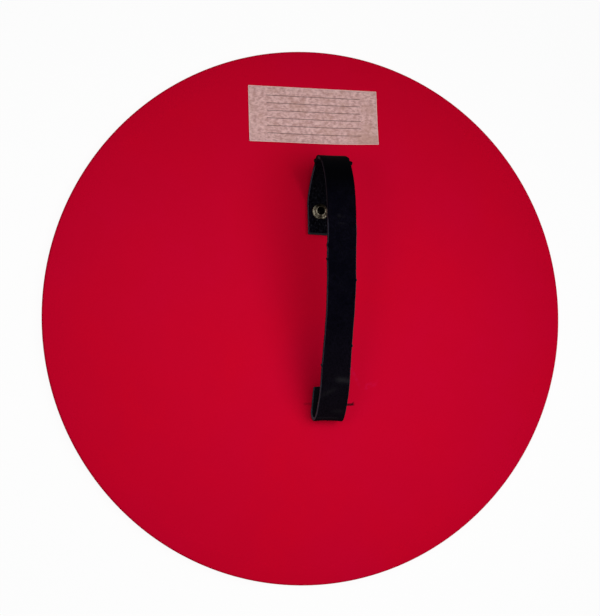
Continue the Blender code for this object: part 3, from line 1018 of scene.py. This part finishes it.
def creased(a, b, along):
    """Heights of the section's points with the creases dented in, how worn the leather is in them, and a
    painted highlight line.
    """
    wear_and_light = np.zeros_like(a)
    for middle, slope, breadth, start, end, strength in CREASES_AND_HIGHLIGHT:
        off = (along - middle - slope * a / MM) / breadth
        soft = CREASE_SOFTNESS * breadth
        span = eased(a / MM, start - soft, start + soft) * (1 - eased(a / MM, end - soft, end + soft))
        wear_and_light = np.maximum(wear_and_light, strength * span * np.exp(-(off**2)))
        b = b + CREASE_DENT * strength * span * np.exp(-((off / CREASE_DENT_BREADTH) ** 2))
    return b, wear_and_light


def leather(strip, stations, insets):
    """Points of the strip at distances along it, with places, wear and painted light; insets round off the
    cut ends.
    """
    core, outward, kinds = cross_section()
    left = half_width(stations, -1)[:, None]
    right = half_width(stations, 1)[:, None]
    half = np.where(core[:, 0] < 0, left, right)
    corner = (STRAP_EDGE_ROUND - insets)[:, None]
    a = core[:, 0] * (half - STRAP_EDGE_ROUND) + corner * outward[:, 0]
    b = core[:, 1] * (STRAP_THICKNESS / 2 - STRAP_EDGE_ROUND) + corner * outward[:, 1]
    along = np.repeat(stations[:, None] / MM, len(core), axis=1)
    b, wear_and_light = creased(a, b, along)
    # Bent leather lifts its edges away from the inside of the bend.
    b = b - (CUPPING * strip.at(strip.bend, stations))[:, None] * core[:, 0] ** 2
    spots = np.stack([a / MM * ROUGH_SCALES[0], along * ROUGH_SCALES[1], b / MM], axis=2)
    rough = np.array([noise.noise(spot) for spot in spots.reshape(-1, 3)]).reshape(a.shape)
    b = b + FLESH_ROUGHNESS * rough * (outward[:, 1] > FACING)
    a = a + EDGE_ROUGHNESS * rough * np.sign(core[:, 0]) * (np.abs(outward[:, 0]) > FACING)
    middle = strip.at(strip.middle, stations)[:, None, :]
    across = strip.at(strip.across, stations)[:, None, :]
    inward = strip.at(strip.inward, stations)[:, None, :]
    slant = strip.at(strip.slant, stations)[:, None, :]
    points = middle + (across - slant) * a[:, :, None] + inward * b[:, :, None]
    places = np.stack([a / MM, along, b / MM], axis=2)
    return points, places, wear_and_light, kinds


def strip_piece(name, strip, begin, end, materials, free_start, free_end):
    """One closed stretch of the strip; its free ends are rounded, its other ends cut square."""
    count = round((end - begin) / RING_STEP)
    stations = np.linspace(begin, end, count + 1)
    insets = np.zeros(count + 1)
    turns = np.linspace(*END_TURNS, END_RINGS)
    rounding = STRAP_EDGE_ROUND * (1 - np.sin(turns)), STRAP_EDGE_ROUND * (1 - np.cos(turns))
    clear = STRAP_EDGE_ROUND * END_CLEARANCE
    if free_start:
        inner = stations > begin + clear
        stations = np.concatenate([begin + rounding[1], stations[inner]])
        insets = np.concatenate([rounding[0], insets[inner]])
    if free_end:
        inner = stations < end - clear
        stations = np.concatenate([stations[inner], end - rounding[1][::-1]])
        insets = np.concatenate([insets[inner], rounding[0][::-1]])
    points, places, wear_and_light, kinds = leather(strip, stations, insets)
    index = np.arange(points.shape[0] * points.shape[1]).reshape(points.shape[:2])
    faces, face_kinds = [], []
    for first, second in zip(index, index[1:]):
        faces += zip(first, np.roll(first, -1), np.roll(second, -1), second)
        face_kinds += list(kinds)
    faces += [tuple(index[0]), tuple(index[-1])]
    face_kinds += [EDGE, EDGE]
    item = linked(name, points.reshape(-1, 3), faces, materials, face_kinds)
    return item, points.reshape(-1, 3), places.reshape(-1, 3), wear_and_light.ravel()


def tab_hole(place):
    """A cutter for the hole that a rivet takes through a tab."""
    radius = SHANK_RADIUS + TAB_HOLE_PLAY
    top = BACK + TAB_HOLE_HEIGHT
    profile = [(0, BACK), (radius, BACK), (radius, top), (0, top)]
    return cutter("tab_hole", place, profile, TAB_HOLE_SEGMENTS)


def carried_over(item, points, places, wear_and_light):
    """Notes each point's place, wear and painted light from the nearest point of the strip before it was
    drilled.
    """
    tree = kdtree.KDTree(len(points))
    for number, point in enumerate(points):
        tree.insert(point, number)
    tree.balance()
    nearest = [tree.find(point)[1] for point in points_of(item)]
    noted(item, PLACE, "FLOAT_VECTOR", places[nearest])
    noted(item, WEAR_AND_LIGHT, "FLOAT", wear_and_light[nearest])


def strap(materials):
    """The strip in four pieces that join without a step: two riveted ends, the upper bend and the grip."""
    strip = Strip()
    joint = next(joint for joint in frame["joints"] if joint["name"] == "grip_lean")
    pivot = Vector(joint["pos_m"])
    away = Vector((1.0, 0.0, 0.0)).cross(Vector(joint["axis"])).normalized()
    over = away * math.cos(BEND_TILT) - Vector((0.0, math.sin(BEND_TILT), 0.0))
    over.normalize()
    ends = strip.ends
    upper_seam = strip.passing(pivot, away, SEAM_HEIGHT, ends["tab"], ends["crown"])
    lower_seam = strip.passing(pivot, away, SEAM_HEIGHT, ends["crown"], ends["fold"])
    bend_foot = Vector(strip.at(strip.middle, np.array([upper_seam]))[0]) + over * BEND_MARGIN
    bend_top = bend_foot + over * BEND_SPAN
    grip_seam = strip.passing(bend_top, over, BEND_MARGIN, ends["rise"], ends["band"])
    lean, press = ("shield", "loop"), ("loop", "grip")
    lean_span = [pivot + away * height for height in LEAN_HEIGHTS]
    press_span = [pivot + away * height for height in PRESS_HEIGHTS]
    stretches = (
        # piece, from and to along the strip, rivet, node it stands for, bodies it joins, where it bends
        ("strap_upper_end", 0.0, upper_seam, "upper", "strap_upper_tab", lean, lean_span),
        ("strap_bend", upper_seam, grip_seam, None, "strap_upper_bend", press, (bend_foot, bend_top)),
        ("strap_band", grip_seam, lower_seam, None, "strap_grip", press, press_span),
        ("strap_lower_end", lower_seam, strip.length, "lower", "strap_lower_tab", lean, lean_span),
    )
    for name, begin, end, riveted, node, bodies, span in stretches:
        free = (riveted == "upper", riveted == "lower")
        item, *notes = strip_piece(name, strip, begin, end, materials, *free)
        if riveted:
            drilled(item, [tab_hole(RIVETS[riveted])])
        carried_over(item, *notes)
        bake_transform(item)
        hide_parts(node)


# Stage


def aimed(item, place, look, up):
    """Places a camera or lamp and turns it along a direction."""
    right = look.cross(up).normalized()
    turn = Matrix((right, right.cross(look), -look)).transposed()
    item.matrix_world = Matrix.Translation(place) @ turn.to_4x4()
    bpy.context.scene.collection.objects.link(item)


def camera():
    data = bpy.data.cameras.new("photo_camera")
    data.lens = CAMERA_LENS
    data.clip_start = CAMERA_NEAR
    item = bpy.data.objects.new("photo_camera", data)
    aimed(item, CAMERA_PLACE, CAMERA_LOOK, CAMERA_UP)
    bpy.context.scene.camera = item


def lamp(name, place, aim, size, power):
    data = bpy.data.lights.new(name, "AREA")
    data.shape = "DISK"
    data.size = size
    data.energy = power
    look = Vector(aim) - Vector(place)
    aimed(bpy.data.objects.new(name, data), Vector(place), look.normalized(), Vector((0, 1, 0)))


def seen_directly(nodes, links):
    """1 for rays from the camera and for those mirrored or bent on the way to it."""
    path = nodes.new("ShaderNodeLightPath")
    total = path.outputs["Is Camera Ray"]
    for name in ("Is Glossy Ray", "Is Transmission Ray"):
        node = nodes.new("ShaderNodeMath")
        node.operation = "MAXIMUM"
        links.new(total, node.inputs[0])
        links.new(path.outputs[name], node.inputs[1])
        total = node.outputs[0]
    return total


def floor():
    """A wide white floor that glows for the camera, and keeps a soft shadow."""
    mesh = bpy.data.meshes.new("floor")
    corners = ((-1, -1), (1, -1), (1, 1), (-1, 1))
    points = [(x * FLOOR_HALF, y * FLOOR_HALF, -FLOOR_DROP) for x, y in corners]
    mesh.from_pydata(points, [], [(0, 1, 2, 3)])
    material = bpy.data.materials.new("white_floor")
    material.use_nodes = True
    nodes = material.node_tree.nodes
    links = material.node_tree.links
    shader = nodes["Principled BSDF"]
    shader.inputs["Base Color"].default_value = (FLOOR_WHITE, FLOOR_WHITE, FLOOR_WHITE, 1.0)
    shader.inputs["Roughness"].default_value = 1.0
    shader.inputs["Specular IOR Level"].default_value = 0.0
    glow = nodes.new("ShaderNodeEmission")
    glow.inputs["Strength"].default_value = 1.0
    amount = nodes.new("ShaderNodeMath")
    amount.operation = "MULTIPLY"
    amount.inputs[1].default_value = FLOOR_GLOW
    links.new(seen_directly(nodes, links), amount.inputs[0])
    mixed = nodes.new("ShaderNodeMixShader")
    links.new(amount.outputs[0], mixed.inputs[0])
    links.new(shader.outputs[0], mixed.inputs[1])
    links.new(glow.outputs[0], mixed.inputs[2])
    links.new(mixed.outputs[0], nodes["Material Output"].inputs["Surface"])
    mesh.materials.append(material)
    item = bpy.data.objects.new("floor", mesh)
    bpy.context.scene.collection.objects.link(item)


def surroundings():
    """Even light from all round, which the camera sees as white as the far floor."""
    world = bpy.data.worlds.new("studio")
    world.use_nodes = True
    nodes = world.node_tree.nodes
    links = world.node_tree.links
    strength = nodes.new("ShaderNodeMapRange")
    strength.inputs["To Min"].default_value = AMBIENT
    strength.inputs["To Max"].default_value = FLOOR_GLOW + (1 - FLOOR_GLOW) * FLOOR_WHITE * AMBIENT
    links.new(seen_directly(nodes, links), strength.inputs["Value"])
    background = nodes["Background"]
    background.inputs["Color"].default_value = (1.0, 1.0, 1.0, 1.0)
    links.new(strength.outputs[0], background.inputs["Strength"])
    bpy.context.scene.world = world


board(red_paint())
label(kraft_paper())
brass = aged_brass()
for end in RIVETS:
    rivet(end, brass)
strap([leather_grain(), leather_flesh(), leather_edge()])
floor()
surroundings()
for settings in LAMPS:
    lamp(*settings)
camera()
bpy.context.scene.view_settings.view_transform = "Standard"
